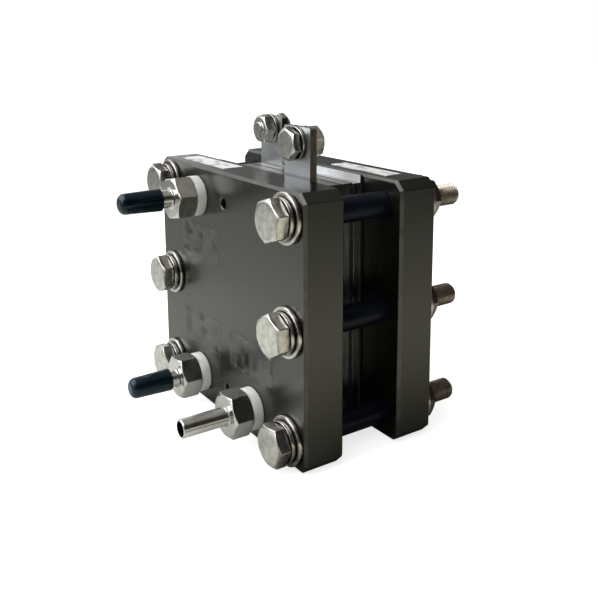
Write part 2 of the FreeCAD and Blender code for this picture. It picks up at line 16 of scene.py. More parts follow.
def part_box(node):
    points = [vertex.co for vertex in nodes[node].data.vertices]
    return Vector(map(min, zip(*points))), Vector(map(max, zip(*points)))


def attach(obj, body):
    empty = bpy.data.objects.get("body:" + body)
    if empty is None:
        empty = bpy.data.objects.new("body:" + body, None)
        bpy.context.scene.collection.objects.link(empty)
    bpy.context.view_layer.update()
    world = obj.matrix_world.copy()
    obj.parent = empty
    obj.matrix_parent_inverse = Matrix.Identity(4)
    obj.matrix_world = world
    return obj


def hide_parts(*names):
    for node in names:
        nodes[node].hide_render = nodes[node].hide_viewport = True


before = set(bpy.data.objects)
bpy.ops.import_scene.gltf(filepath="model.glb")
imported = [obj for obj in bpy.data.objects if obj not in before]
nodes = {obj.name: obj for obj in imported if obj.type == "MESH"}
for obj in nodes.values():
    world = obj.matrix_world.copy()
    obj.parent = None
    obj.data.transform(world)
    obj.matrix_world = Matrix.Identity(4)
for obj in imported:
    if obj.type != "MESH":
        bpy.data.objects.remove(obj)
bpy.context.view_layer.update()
MM = 0.001
print(len(nodes), "CAD nodes")

# %% [markdown]
# ## The camera
# The photograph looks at the stack from the front right, a little from above.
# A camera can be placed by eye, but then every edge drifts by a few pixels.
# Here its place, its turn and its lens were fitted once to the corners of the
# plates, so the script only states them. The small shift moves the picture
# up, as the stack doesn't sit in the middle of the frame.

# %% Place the camera
CAMERA_PLACE = Vector((315.996, -196.334, 178.362)) * MM
CAMERA_YAW, CAMERA_PITCH, CAMERA_ROLL = 0.978, -0.178, -0.004
LENS, SENSOR = 47.553, 36.0
SHIFT_X, SHIFT_Y = -0.00054, -0.1912
NEAREST_SEEN = 0.01

lens = bpy.data.cameras.new("photo_camera")
lens.lens = LENS
lens.sensor_width = SENSOR
lens.shift_x = SHIFT_X
lens.shift_y = SHIFT_Y
lens.clip_start = NEAREST_SEEN
camera = bpy.data.objects.new("photo_camera", lens)
bpy.context.scene.collection.objects.link(camera)
turn = Matrix.Rotation(CAMERA_YAW, 4, "Z")
tilt = Matrix.Rotation(math.pi / 2 + CAMERA_PITCH, 4, "X")
roll = Matrix.Rotation(CAMERA_ROLL, 4, "Z")
camera.matrix_world = Matrix.Translation(CAMERA_PLACE) @ turn @ tilt @ roll
bpy.context.scene.camera = camera
bpy.context.scene.view_settings.view_transform = "Standard"
print("camera", [round(v, 3) for v in CAMERA_PLACE])

# %% [markdown]
# ## Helpers for nodes
# Every finish here, and the room around the stack, is made from nodes, with
# no pictures. The first helpers join nodes: a socket takes either another
# node's output or a plain value, and `look_up` turns a number into the colour
# that it meets in a list of stops. Without them the same five lines would
# stand in every finish.

# %% Join nodes


def feed(tree, socket, value):
    """Links a node's output to a socket, or sets the socket to a plain value."""
    if isinstance(value, bpy.types.NodeSocket):
        tree.links.new(value, socket)
    else:
        socket.default_value = value


def maths(tree, operation, *values):
    """One step of maths with numbers."""
    node = tree.nodes.new("ShaderNodeMath")
    node.operation = operation
    for socket, value in zip(node.inputs, values):
        feed(tree, socket, value)
    return node.outputs[0]


def vector_maths(tree, operation, *values):
    """One step of maths with vectors. Lengths and dot products are numbers."""
    node = tree.nodes.new("ShaderNodeVectorMath")
    node.operation = operation
    for socket, value in zip(node.inputs, values):
        feed(tree, socket, value)
    return node.outputs["Value" if operation in ("LENGTH", "DOT_PRODUCT") else "Vector"]


def number(tree, source, low, high, start=0.35, end=0.65):
    """Turns a source between start and end into a number from low to high."""
    scale = tree.nodes.new("ShaderNodeMapRange")
    scale.inputs["From Min"].default_value = start
    scale.inputs["From Max"].default_value = end
    scale.inputs["To Min"].default_value = low
    scale.inputs["To Max"].default_value = high
    tree.links.new(source, scale.inputs["Value"])
    return scale.outputs["Result"]


def look_up(tree, source, stops):
    """The colour or grey level that a number meets in a list of stops."""
    ramp = tree.nodes.new("ShaderNodeValToRGB")
    for place, shade in stops[2:]:
        ramp.color_ramp.elements.new(place)
    for stop, (place, shade) in zip(ramp.color_ramp.elements, stops):
        stop.position = place
        stop.color = (*shade, 1) if isinstance(shade, tuple) else (shade, shade, shade, 1)
    tree.links.new(source, ramp.inputs["Fac"])
    return ramp.outputs["Color"]


def colours(tree, source, first, second, start=0.35, end=0.65):
    """A colour that runs from first to second as the source rises."""
    return look_up(tree, source, [(start, first), (end, second)])


# A Mix node repeats its socket names for each kind, so colours go by place.
MIX_FACTOR, MIX_FIRST, MIX_SECOND, MIX_RESULT = 0, 6, 7, 2


def blend(tree, factor, first, second):
    """Mixes two colours by a number from 0 to 1."""
    mix = tree.nodes.new("ShaderNodeMix")
    mix.data_type = "RGBA"
    feed(tree, mix.inputs[MIX_FACTOR], factor)
    feed(tree, mix.inputs[MIX_FIRST], first)
    feed(tree, mix.inputs[MIX_SECOND], second)
    return mix.outputs[MIX_RESULT]


print("look_up, colours and blend give colours, maths and number give numbers")

# %% [markdown]
# A noise texture is only right at the right size, so `grain` takes the size
# of one spot in millimetres and reads the object's own coordinates, which
# stay with the part wherever it goes. The rest find where a point lies, which
# way its face looks and how deep it sits in a corner.

# %% Read the surface


def finish(name, roughness, metallic=0.0):
    """A new material with its node tree and its main shader."""
    material = bpy.data.materials.new(name)
    material.use_nodes = True
    tree = material.node_tree
    shader = tree.nodes["Principled BSDF"]
    shader.inputs["Roughness"].default_value = roughness
    shader.inputs["Metallic"].default_value = metallic
    return material, tree, shader


def own_coordinates(tree):
    """The piece's own coordinates, in metres."""
    return tree.nodes.new("ShaderNodeTexCoord").outputs["Object"]


# Noise at this scale has spots about one unit wide.
ONE_SPOT = 0.5


def grain(tree, spot, stretch=(1, 1, 1), detail=3.0):
    """Noise from 0 to 1 whose spots are about this many millimetres wide."""
    scale = tree.nodes.new("ShaderNodeMapping")
    scale.inputs["Scale"].default_value = [1 / (MM * spot * part) for part in stretch]
    noise = tree.nodes.new("ShaderNodeTexNoise")
    noise.inputs["Scale"].default_value = ONE_SPOT
    noise.inputs["Detail"].default_value = detail
    tree.links.new(own_coordinates(tree), scale.inputs["Vector"])
    tree.links.new(scale.outputs["Vector"], noise.inputs["Vector"])
    return noise.outputs["Fac"]


def own_place(tree):
    """The piece's own X, Y and Z, each as a number."""
    parts = tree.nodes.new("ShaderNodeSeparateXYZ")
    tree.links.new(own_coordinates(tree), parts.inputs[0])
    return parts.outputs


def facing(tree):
    """The X, Y and Z of the way that a face looks."""
    place = tree.nodes.new("ShaderNodeNewGeometry")
    parts = tree.nodes.new("ShaderNodeSeparateXYZ")
    tree.links.new(place.outputs["True Normal"], parts.inputs[0])
    return parts.outputs


CORNER_SAMPLES = 8


def crevices(tree, reach, start=0.30, end=0.70):
    """From 0 deep in a corner to 1 in the open, looking reach millimetres round."""
    corner = tree.nodes.new("ShaderNodeAmbientOcclusion")
    corner.samples = CORNER_SAMPLES
    corner.inputs["Distance"].default_value = reach * MM
    return number(tree, corner.outputs["AO"], 0, 1, start, end)


def relief(tree, shader, source, depth, strength=1.0):
    """Raises the surface by the noise, depth in millimetres."""
    bump = tree.nodes.new("ShaderNodeBump")
    bump.inputs["Distance"].default_value = depth * MM
    bump.inputs["Strength"].default_value = strength
    tree.links.new(source, bump.inputs["Height"])
    tree.links.new(bump.outputs["Normal"], shader.inputs["Normal"])


print("a grain of 5 has spots about", 5 * MM, "m wide")

# %% [markdown]
# ## The room
# Polished steel shows its surroundings more than its own colour. A single
# white world would turn every bolt head into a flat white disc. So the world
# is brightest to the front left and falls to a dark warm grey on the right
# and behind, under a grey ceiling, and facets that face different ways differ.
# The change from bright to dim is steep, because the photograph's tube and
# bolts show hard streaks.

# %% Paint the room
BRIGHT_SIDE = Vector((-0.80, -0.60, 0.05)).normalized()
BRIGHT_COLOUR = (0.98, 0.98, 0.97)
SIDE_COLOUR = (0.22, 0.22, 0.215)
DIM_COLOUR = (0.16, 0.158, 0.15)
FAR_COLOUR = (0.105, 0.098, 0.090)
BACK_COLOUR = (0.035, 0.032, 0.030)
CEILING_COLOUR = (0.33, 0.315, 0.285)
WALL_STOPS = [(0.14, BACK_COLOUR), (0.40, FAR_COLOUR), (0.66, DIM_COLOUR),
              (0.7025, SIDE_COLOUR), (0.75, BRIGHT_COLOUR)]
CEILING_STARTS, CEILING_FULL = 0.66, 0.90

studio = bpy.data.worlds.new("studio")
bpy.context.scene.world = studio
studio.use_nodes = True
sky = studio.node_tree
sky.nodes.clear()

direction = sky.nodes.new("ShaderNodeTexCoord").outputs["Generated"]
towards_bright = vector_maths(sky, "DOT_PRODUCT", direction, BRIGHT_SIDE)
walls = look_up(sky, number(sky, towards_bright, 0, 1, -1, 1), WALL_STOPS)
walls.node.color_ramp.interpolation = "EASE"
parts = sky.nodes.new("ShaderNodeSeparateXYZ")
sky.links.new(direction, parts.inputs[0])
overhead = number(sky, parts.outputs["Z"], 0, 1, CEILING_STARTS, CEILING_FULL)
room = blend(sky, overhead, walls, (*CEILING_COLOUR, 1))
print(len(WALL_STOPS), "shades around the room")

# %% [markdown]
# The camera itself sees plain white paper behind the stack. Reflections show
# the same white where they look to the bright side of the room, so the steel
# and the background agree. Everywhere else they show the room's greys.

# %% Put white paper behind the stack
WHITE_STARTS, WHITE_FULL = 0.90, 0.97

room_glow = sky.nodes.new("ShaderNodeRGBToBW")
sky.links.new(room, room_glow.inputs["Color"])
white_side = number(sky, room_glow.outputs["Val"], 0, 1, WHITE_STARTS, WHITE_FULL)
ray = sky.nodes.new("ShaderNodeLightPath").outputs
mirrored = maths(sky, "MAXIMUM", ray["Is Glossy Ray"], ray["Is Transmission Ray"])
mirrored_white = maths(sky, "MULTIPLY", mirrored, white_side)
seen_white = maths(sky, "MAXIMUM", ray["Is Camera Ray"], mirrored_white)

choose = sky.nodes.new("ShaderNodeMixShader")
sky.links.new(seen_white, choose.inputs[0])
for socket, colour in ((choose.inputs[1], room), (choose.inputs[2], (1, 1, 1, 1))):
    light = sky.nodes.new("ShaderNodeBackground")
    feed(sky, light.inputs["Color"], colour)
    sky.links.new(light.outputs[0], socket)
out = sky.nodes.new("ShaderNodeOutputWorld")
sky.links.new(choose.outputs[0], out.inputs["Surface"])
print(len(sky.nodes), "nodes in the world")

# %% [markdown]
# ## The lamps
# One large soft lamp above the front gives the floor its shadow. A weaker one
# on the right lifts the white collars and labels, and is left out of
# reflections so that the steel keeps its contrast. Hard lamps would draw
# sharp shadows, which the photograph doesn't have.

# %% Hang the lamps
LAMP_AIM = Vector((0, 0, 0.06))
KEY_PLACE, FILL_PLACE = (-0.32, -0.72, 0.95), (0.75, -0.55, 0.85)


def soft_lamp(name, place, width, power):
    """A square soft box at a place in metres, turned to face the stack."""
    light = bpy.data.lights.new(name, "AREA")
    light.size = width
    light.energy = power
    lamp = bpy.data.objects.new(name, light)
    lamp.location = place
    lamp.rotation_euler = (LAMP_AIM - Vector(place)).to_track_quat("-Z", "Y").to_euler()
    bpy.context.scene.collection.objects.link(lamp)
    return lamp


soft_lamp("key_box", KEY_PLACE, width=1.4, power=16.5)
fill = soft_lamp("fill_box", FILL_PLACE, width=0.8, power=2.5)
fill.visible_glossy = False
print("studio with", len(bpy.data.lights), "lamps")

# %% [markdown]
# ## Hard anodised aluminium
# The end plates are machined flat and hard anodised, which leaves a dark
# olive grey skin, nearly black in shade. A black plastic would be simpler but
# too even. The skin is a dark dielectric with faint cloudy patches. It is
# lighter along the rounded edges: the skin wears thin where they get knocked,
# and the lighter colour there is also a painted highlight. Those are the only
# places that look neither straight along Y nor straight across it, so a mask
# made from the way that a face looks finds them.

# %% Colour of the end plates
WEAR_AND_HIGHLIGHT_WHERE = [(0.05, 0.0), (0.20, 1.0), (0.96, 1.0), (0.99, 0.0)]

anodised, tree, skin = finish("hard_anodised_skin", 0.25)
clouds = grain(tree, 22, detail=4)
sound = colours(tree, clouds, (0.0040, 0.0040, 0.0036), (0.0065, 0.0066, 0.0058))
# Lighter along the rounded edges: worn skin and a painted highlight.
worn_and_highlit = colours(tree, grain(tree, 4), (0.008, 0.008, 0.008), (0.040, 0.038, 0.036))
rounded = look_up(tree, maths(tree, "ABSOLUTE", facing(tree)["Y"]), WEAR_AND_HIGHLIGHT_WHERE)
tree.links.new(blend(tree, rounded, sound, worn_and_highlit), skin.inputs["Base Color"])
print(anodised.name)

# %% [markdown]
# The gloss changes with the clouds, and the top faces get wiped and are
# glossier. In the gap between the plates the two inner faces, which their
# place along Y tells, reflect less up to the top of the stack: this is
# painted shade, for the little light that reaches into the gap. The fine
# grain of the anodising is a very low relief.

# %% Gloss of the end plates
GAP_MIDDLE, GAP_WIDTH, GAP_MARGIN = 9.0, 30.0, 0.1
GAP_SHADE_FADES, GAP_SHADE_ENDS = 104.0, 112.0
CLEAN_GLOSS, GAP_SHADE_SHINE = 0.5, 0.15
SKIN_IOR = 1.73
OLIVE_TINT = (0.98, 1.0, 0.94, 1)

wiped = number(tree, facing(tree)["Z"], 0, 0.05, 0.80, 0.95)
gloss = maths(tree, "SUBTRACT", number(tree, clouds, 0.24, 0.30), wiped)
tree.links.new(gloss, skin.inputs["Roughness"])
in_the_gap = maths(tree, "COMPARE", own_place(tree)["Y"],
                   GAP_MIDDLE * MM, (GAP_WIDTH / 2 + GAP_MARGIN) * MM)
below_top = number(tree, own_place(tree)["Z"], 1, 0, GAP_SHADE_FADES * MM, GAP_SHADE_ENDS * MM)
# Painted shade: the inner faces of the gap reflect less, up to the top of the stack.
gap_shade = maths(tree, "MULTIPLY", in_the_gap, below_top)
shine = number(tree, gap_shade, CLEAN_GLOSS, GAP_SHADE_SHINE, 0, 1)
tree.links.new(shine, skin.inputs["Specular IOR Level"])
relief(tree, skin, grain(tree, 0.35, detail=2), 0.0006, 0.3)
skin.inputs["IOR"].default_value = SKIN_IOR
skin.inputs["Specular Tint"].default_value = OLIVE_TINT
print("dull from", GAP_MIDDLE - GAP_WIDTH / 2, "to", GAP_MIDDLE + GAP_WIDTH / 2, "mm along Y")

# %% [markdown]
# ## Stainless steel
# Bolts, nuts, washers and fittings are bare stainless steel. Forged heads
# are slightly uneven, so their reflections look mottled. A metal shader with
# a light base colour does the mirror part, and two sizes of noise break up
# its gloss and its surface. The threaded ends keep oil and dirt, so the bolts
# turn brown beyond their heads, which each bolt's own length along Y tells.
# In the corners between head, washers and plate, where ambient occlusion
# finds them, a dark colour is mixed in: mostly painted shade, with a little
# real dirt.

# %% Finishes of the plain steel and the bolts
CLEAN_STEEL = (0.47, 0.46, 0.43), (0.70, 0.69, 0.66)
OILED_STEEL = (0.40, 0.36, 0.30), (0.58, 0.53, 0.455)
GRIME_AND_SHADE = (0.030, 0.024, 0.018), (0.06, 0.05, 0.04)
OIL_STARTS, OIL_FULL = 30, 40

steel, tree, skin = finish("forged_stainless", 0.25, metallic=1.0)
patches = grain(tree, 1.4, detail=5)
pits = grain(tree, 0.8, detail=3)
tree.links.new(colours(tree, patches, *CLEAN_STEEL), skin.inputs["Base Color"])
tree.links.new(number(tree, pits, 0.20, 0.30), skin.inputs["Roughness"])
relief(tree, skin, patches, 0.008, 0.35)

bolt_steel, tree, skin = finish("bolt_stainless", 0.25, metallic=1.0)
patches = grain(tree, 1.4, detail=5)
clean = colours(tree, patches, *CLEAN_STEEL)
oiled = colours(tree, patches, *OILED_STEEL)
corner_grime_and_shade = colours(tree, patches, *GRIME_AND_SHADE)
along = own_place(tree)["Y"]
beyond_head = number(tree, along, 0, 1, OIL_STARTS * MM, OIL_FULL * MM)
metal = blend(tree, beyond_head, clean, oiled)
# Painted shade, with a little dirt: dark in the corners that ambient occlusion finds.
tree.links.new(blend(tree, crevices(tree, 1.2), corner_grime_and_shade, metal), skin.inputs["Base Color"])
dulled = number(tree, along, 0.24, 0.42, OIL_STARTS * MM, OIL_FULL * MM)
tree.links.new(dulled, skin.inputs["Roughness"])
relief(tree, skin, patches, 0.02, 0.4)
print(steel.name, bolt_steel.name)

# %% [markdown]
# Washers are pressed from sheet and are smoother than the forged heads. The
# nuts at the rear carry a brown stain. Their faces that look down are painted
# light, and the others brown and dark: the stain together with painted shade.
# One steel for all would be easier, but the brown nuts are what the eye finds
# first at the rear.

# %% Finishes of the washers and nuts
pressed_steel, tree, skin = finish("pressed_washer_steel", 0.25, metallic=1.0)
patches = grain(tree, 2.0, detail=4)
metal = colours(tree, patches, (0.50, 0.485, 0.46), (0.70, 0.69, 0.66))
corner_grime_and_shade = colours(tree, patches, *GRIME_AND_SHADE)
# Painted shade, with a little dirt: dark in the corners that ambient occlusion finds.
in_the_open = crevices(tree, 2.0, 0.55, 0.88)
tree.links.new(blend(tree, in_the_open, corner_grime_and_shade, metal), skin.inputs["Base Color"])
tree.links.new(number(tree, patches, 0.18, 0.28), skin.inputs["Roughness"])

nut_steel, tree, skin = finish("brown_shaded_nut_steel", 0.3, metallic=1.0)
stain = grain(tree, 5, detail=4)
brown_stain_and_shade = colours(tree, stain, (0.17, 0.10, 0.08), (0.36, 0.26, 0.21))
bare_and_lit = colours(tree, stain, (0.58, 0.54, 0.52), (0.70, 0.67, 0.65))
# Painted light and shade: faces that look down are light, the others brown and dark.
upward = number(tree, facing(tree)["Z"], 0, 1, -0.6, -0.2)
tree.links.new(blend(tree, upward, bare_and_lit, brown_stain_and_shade), skin.inputs["Base Color"])
tree.links.new(number(tree, stain, 0.38, 0.24), skin.inputs["Roughness"])
relief(tree, skin, grain(tree, 0.8), 0.03, 0.5)
print(pressed_steel.name, nut_steel.name)

# %% [markdown]
# ## Turned fittings
# A lathe leaves fine rings around the axis of a fitting, on its flat faces as
# well as along its tube. Plain noise would show spots instead. So the noise
# here is read at the distance from the axis and the place along it. The same
# distance tells where the bore is, which is painted dark as the shade inside
# the hole.

# %% Finish of the turned fittings
BORE_RADIUS = 3.3
BORE_SHADE_STARTS, BORE_SHADE_ENDS = 0.05, 0.15
RING_WIDTH = 0.8


def turned_finish(node_name):
    """Turned steel around the axis of one fitting, with its bore painted dark as shade."""
    low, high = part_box(node_name)
    axis = (low + high) / 2
    material, tree, skin = finish("turned_" + node_name, 0.2, metallic=1.0)
    from_middle = vector_maths(tree, "SUBTRACT", own_coordinates(tree), axis)
    from_axis = vector_maths(tree, "MULTIPLY", from_middle, (1, 0, 1))
    radius = vector_maths(tree, "LENGTH", from_axis)
    pair = tree.nodes.new("ShaderNodeCombineXYZ")
    tree.links.new(radius, pair.inputs["X"])
    tree.links.new(own_place(tree)["Y"], pair.inputs["Y"])
    rings = tree.nodes.new("ShaderNodeTexNoise")
    rings.inputs["Scale"].default_value = 1 / (RING_WIDTH * MM)
    rings.inputs["Detail"].default_value = 2.0
    tree.links.new(pair.outputs["Vector"], rings.inputs["Vector"])
    clean = colours(tree, grain(tree, 4), (0.52, 0.52, 0.50), (0.66, 0.66, 0.64))
    bore_shade = colours(tree, grain(tree, 1), (0.020, 0.020, 0.020), (0.05, 0.048, 0.045))
    # The bore is painted dark as shade.
    outside = number(tree, radius, 0, 1,
                     (BORE_RADIUS + BORE_SHADE_STARTS) * MM, (BORE_RADIUS + BORE_SHADE_ENDS) * MM)
    tree.links.new(blend(tree, outside, bore_shade, clean), skin.inputs["Base Color"])
    tree.links.new(number(tree, rings.outputs["Fac"], 0.12, 0.24), skin.inputs["Roughness"])
    relief(tree, skin, rings.outputs["Fac"], 0.002, 0.4)
    return material


fittings = [name for name in nodes if name.startswith("port_fitting")]
print("turned finish for", len(fittings), "fittings")

# %% [markdown]
# ## The metals and sheets of the stack
# The two current collectors are plated copper, so their tabs are a cool
# satin silver. The flow plates are titanium, a little darker. The insulation
# sheets are a pale glass laminate, and the seals are dark rubber. Each one
# is a thin line in the gap between the plates, so its colour matters most.
# The tabs' cut edges take other colours above a height, near black on the
# rear collector as painted shade. The insulation sheets' cut edges are
# painted dark as shade, so the way a face looks chooses between two colours.

# %% Finishes of the current collectors


def cut_edges(tree, face_colour, edge_colour):
    """One colour on the broad faces and another on edges that look along X."""
    sideways = maths(tree, "ABSOLUTE", facing(tree)["X"])
    return blend(tree, number(tree, sideways, 0, 1, 0.5, 0.9), face_colour, edge_colour)


EDGE_ABOVE_FADE = 8


def plated_finish(name, dark_edge, light_edge, height):
    """Satin plating, with cut edges in other colours above a height in millimetres."""
    material, tree, skin = finish(name, 0.35, metallic=1.0)
    lines = grain(tree, 0.3, stretch=(1, 1, 10), detail=2)
    face = colours(tree, grain(tree, 6), (0.46, 0.48, 0.50), (0.58, 0.60, 0.62))
    edge_below = colours(tree, lines, (0.32, 0.32, 0.31), (0.46, 0.46, 0.45))
    edge_above = colours(tree, lines, dark_edge, light_edge)
    in_the_open = number(tree, own_place(tree)["Z"], 0, 1,
                         height * MM, (height + EDGE_ABOVE_FADE) * MM)
    edge = blend(tree, in_the_open, edge_below, edge_above)
    tree.links.new(cut_edges(tree, face, edge), skin.inputs["Base Color"])
    tree.links.new(number(tree, lines, 0.28, 0.42), skin.inputs["Roughness"])
    relief(tree, skin, lines, 0.004, 0.5)
    return material


plated = plated_finish("plated_front_collector",
                       (0.15, 0.135, 0.12), (0.26, 0.235, 0.21), height=104)
# The rear tab's cut edges are painted near black as shade.
plated_rear = plated_finish("plated_rear_collector",
                            (0.035, 0.030, 0.026), (0.07, 0.06, 0.052), height=120)
print(plated.name, plated_rear.name)

# %% [markdown]
# Titanium plates show the milling marks along their edges. The laminate is
# pale on its faces, painted dark as shade on its cut sides, and mid grey on
# its top edge. Rubber is matt and nearly black.

# %% Finishes of the plates, sheets and seals
titanium, tree, skin = finish("machined_titanium", 0.35, metallic=1.0)
lines = grain(tree, 0.3, stretch=(1, 1, 14), detail=2)
tree.links.new(colours(tree, lines, (0.40, 0.40, 0.38), (0.56, 0.56, 0.53)),
               skin.inputs["Base Color"])
tree.links.new(number(tree, lines, 0.30, 0.45), skin.inputs["Roughness"])

laminate, tree, skin = finish("pale_laminate", 0.45)
face = colours(tree, grain(tree, 5, detail=5), (0.62, 0.63, 0.63), (0.80, 0.82, 0.84))
# Painted shade: the cut sides are near black.
edge = colours(tree, grain(tree, 1), (0.020, 0.016, 0.013), (0.045, 0.036, 0.030))
top_edge = colours(tree, grain(tree, 1), (0.07, 0.068, 0.065), (0.12, 0.117, 0.112))
upward = number(tree, facing(tree)["Z"], 0, 1, 0.5, 0.9)
pale = blend(tree, upward, cut_edges(tree, face, edge), top_edge)
tree.links.new(pale, skin.inputs["Base Color"])
relief(tree, skin, grain(tree, 0.4), 0.01, 0.4)

rubber, tree, skin = finish("seal_rubber", 0.55)
tree.links.new(colours(tree, grain(tree, 1.0), (0.012, 0.013, 0.014), (0.028, 0.029, 0.030)),
               skin.inputs["Base Color"])
relief(tree, skin, grain(tree, 0.3), 0.01, 0.5)
print(titanium.name, laminate.name, rubber.name)

# %% [markdown]
# ## Inside the cells
# Each cell has a membrane between a sintered titanium mesh and a sheet of
# carbon paper. They are closed in, but each still gets its own fine texture.

# %% Finishes inside the cells
mesh_felt, tree, skin = finish("sintered_titanium", 0.6, metallic=1.0)
fibres = grain(tree, 0.12, stretch=(5, 1, 1), detail=2)
tree.links.new(colours(tree, fibres, (0.20, 0.20, 0.19), (0.42, 0.41, 0.39)),
               skin.inputs["Base Color"])
relief(tree, skin, fibres, 0.03)

membrane, tree, skin = finish("coated_membrane", 0.4)
tree.links.new(colours(tree, grain(tree, 2), (0.16, 0.09, 0.04), (0.24, 0.15, 0.08)),
               skin.inputs["Base Color"])

carbon, tree, skin = finish("carbon_paper", 0.7)
fibres = grain(tree, 0.1, stretch=(1, 1, 6), detail=2)
tree.links.new(colours(tree, fibres, (0.008, 0.008, 0.009), (0.035, 0.035, 0.038)),
               skin.inputs["Base Color"])
relief(tree, skin, fibres, 0.02)
print(mesh_felt.name, membrane.name, carbon.name)

# %% [markdown]
# ## Plastics
# Shrink sleeving on the bolts is black with a blue cast and slightly wavy.
# The caps are glossy vinyl, and the collars are a waxy white plastic that
# lets a little light in, which subsurface scattering gives.

# %% Finishes of the plastics
BLUE_CAST, DEEP_BLUE_CAST = (0.70, 0.82, 1.0, 1), (0.55, 0.80, 1.0, 1)
LIGHT_DEPTH = 1.5

sleeving, tree, skin = finish("shrink_sleeving", 0.32)
skin.inputs["Specular IOR Level"].default_value = 0.2
skin.inputs["Specular Tint"].default_value = BLUE_CAST
waves = grain(tree, 3.0, stretch=(1, 3, 1), detail=2)
tree.links.new(colours(tree, waves, (0.0035, 0.0048, 0.0090), (0.006, 0.0078, 0.0140)),
               skin.inputs["Base Color"])
tree.links.new(number(tree, waves, 0.26, 0.40), skin.inputs["Roughness"])
relief(tree, skin, waves, 0.12, 0.35)

vinyl, tree, skin = finish("cap_vinyl", 0.18)
skin.inputs["Specular Tint"].default_value = DEEP_BLUE_CAST
waves = grain(tree, 4.0, detail=2)
tree.links.new(colours(tree, waves, (0.0010, 0.0045, 0.0080), (0.002, 0.008, 0.013)),
               skin.inputs["Base Color"])
tree.links.new(number(tree, waves, 0.13, 0.26), skin.inputs["Roughness"])
relief(tree, skin, waves, 0.10, 0.3)

wax, tree, skin = finish("waxy_white_plastic", 0.4)
clouds = grain(tree, 2.5, detail=3)
tree.links.new(colours(tree, clouds, (0.72, 0.72, 0.71), (0.82, 0.82, 0.81)),
               skin.inputs["Base Color"])
tree.links.new(number(tree, clouds, 0.34, 0.50), skin.inputs["Roughness"])
skin.inputs["Subsurface Weight"].default_value = 0.25
skin.inputs["Subsurface Radius"].default_value = (1, 1, 0.9)
skin.inputs["Subsurface Scale"].default_value = LIGHT_DEPTH * MM
relief(tree, skin, grain(tree, 1.2), 0.02, 0.4)
print(sleeving.name, vinyl.name, wax.name)

# %% [markdown]
# ## Labels and films
# The top edges carry white paper labels, and the front face has three clear
# films. What is on them is generic: a few short grey bars, made by cutting the
# surface into small cells and letting a random number per cell decide whether
# it is inked. Bars drawn one by one would take more nodes and look no better
# at this size.

# %% Finishes of the labels and films


def ink_cells(tree, cell):
    """A random number from 0 to 1 for each cell of these X, Y and Z in millimetres."""
    scale = tree.nodes.new("ShaderNodeMapping")
    scale.inputs["Scale"].default_value = [1 / (MM * side) for side in cell]
    tree.links.new(own_coordinates(tree), scale.inputs["Vector"])
    random = tree.nodes.new("ShaderNodeTexWhiteNoise")
    steps = vector_maths(tree, "FLOOR", scale.outputs["Vector"])
    tree.links.new(steps, random.inputs["Vector"])
    return random.outputs["Value"]


ONE_CELL_DEEP = 50

label_paper, tree, skin = finish("printed_paper", 0.8)
skin.inputs["Specular IOR Level"].default_value = 0.1
inked = ink_cells(tree, (4.6, 2.3, ONE_CELL_DEEP))
tree.links.new(colours(tree, inked, (0.48, 0.49, 0.50), (0.80, 0.80, 0.80), 0.16, 0.30),
               skin.inputs["Base Color"])
relief(tree, skin, grain(tree, 0.2), 0.005, 0.5)

clear_film, tree, skin = finish("clear_film", 0.20)
inked = ink_cells(tree, (3.6, ONE_CELL_DEEP, 3.0))
tree.links.new(colours(tree, inked, (0.03, 0.03, 0.03), (0.27, 0.27, 0.26), 0.14, 0.26),
               skin.inputs["Base Color"])
tree.links.new(number(tree, grain(tree, 6), 0.12, 0.24), skin.inputs["Alpha"])
relief(tree, skin, grain(tree, 9, detail=1), 0.2, 0.5)
clear_film.surface_render_method = "BLENDED"
print(label_paper.name, clear_film.name)

# %% [markdown]
# ## Give every CAD node its finish
# The imported model already names a material slot for each node. A small table
# from slot to finish dresses all of them, and the turned fittings, the washers,
# the rear collector and the rear nuts get their own.

# %% Dress the nodes
FINISH_OF_SLOT = {
    "anodised_plate": anodised,
    "stainless_steel": steel,
    "collector_metal": plated,
    "flow_plate_metal": titanium,
    "insulation_sheet": laminate,
    "seal_rubber": rubber,
    "porous_titanium": mesh_felt,
    "membrane_film": membrane,
    "carbon_paper": carbon,
    "black_sleeve": sleeving,
    "white_collar": wax,
    "black_cap": vinyl,
    "white_label": label_paper,
    "clear_film": clear_film,
}
for node in nodes.values():
    for slot in node.material_slots:
        slot.material = FINISH_OF_SLOT[slot.material.name.split(".")[0]]
for name, node in nodes.items():
    if name in fittings:
        node.material_slots[0].material = turned_finish(name)
    if name.endswith("washers"):
        node.material_slots[0].material = pressed_steel
    if name.startswith("rear_current_collector"):
        node.material_slots[0].material = plated_rear
nodes["clamp_nuts"].material_slots[0].material = nut_steel
print("dressed", len(nodes), "nodes")

# %% [markdown]
# ## Soft edges
# No machined edge is perfectly sharp: a narrow round catches the light and
# draws a fine bright line. The CAD meshes may not change, but modifiers may
# stand on them. Weld joins the facets, Decimate takes out edges within flat
# faces, and Bevel rounds what is left.

# %% Round the edges of the CAD nodes
SAME_POINT = 0.000001
FLAT_UNDER, SHARP_OVER = math.radians(0.5), math.radians(28)


def soften(name, width):
    """Rounds a CAD node's sharp edges over a width in millimetres."""
    node = nodes[name]
    join = node.modifiers.new("join_facets", "WELD")
    join.merge_threshold = SAME_POINT
    flat = node.modifiers.new("merge_flat_faces", "DECIMATE")
    flat.decimate_type = "DISSOLVE"
    flat.angle_limit = FLAT_UNDER
    edge = node.modifiers.new("round_edges", "BEVEL")
    edge.width = width * MM
    edge.segments = 2
    edge.limit_method = "ANGLE"
    edge.angle_limit = SHARP_OVER
    edge.harden_normals = True
    edge.use_clamp_overlap = True


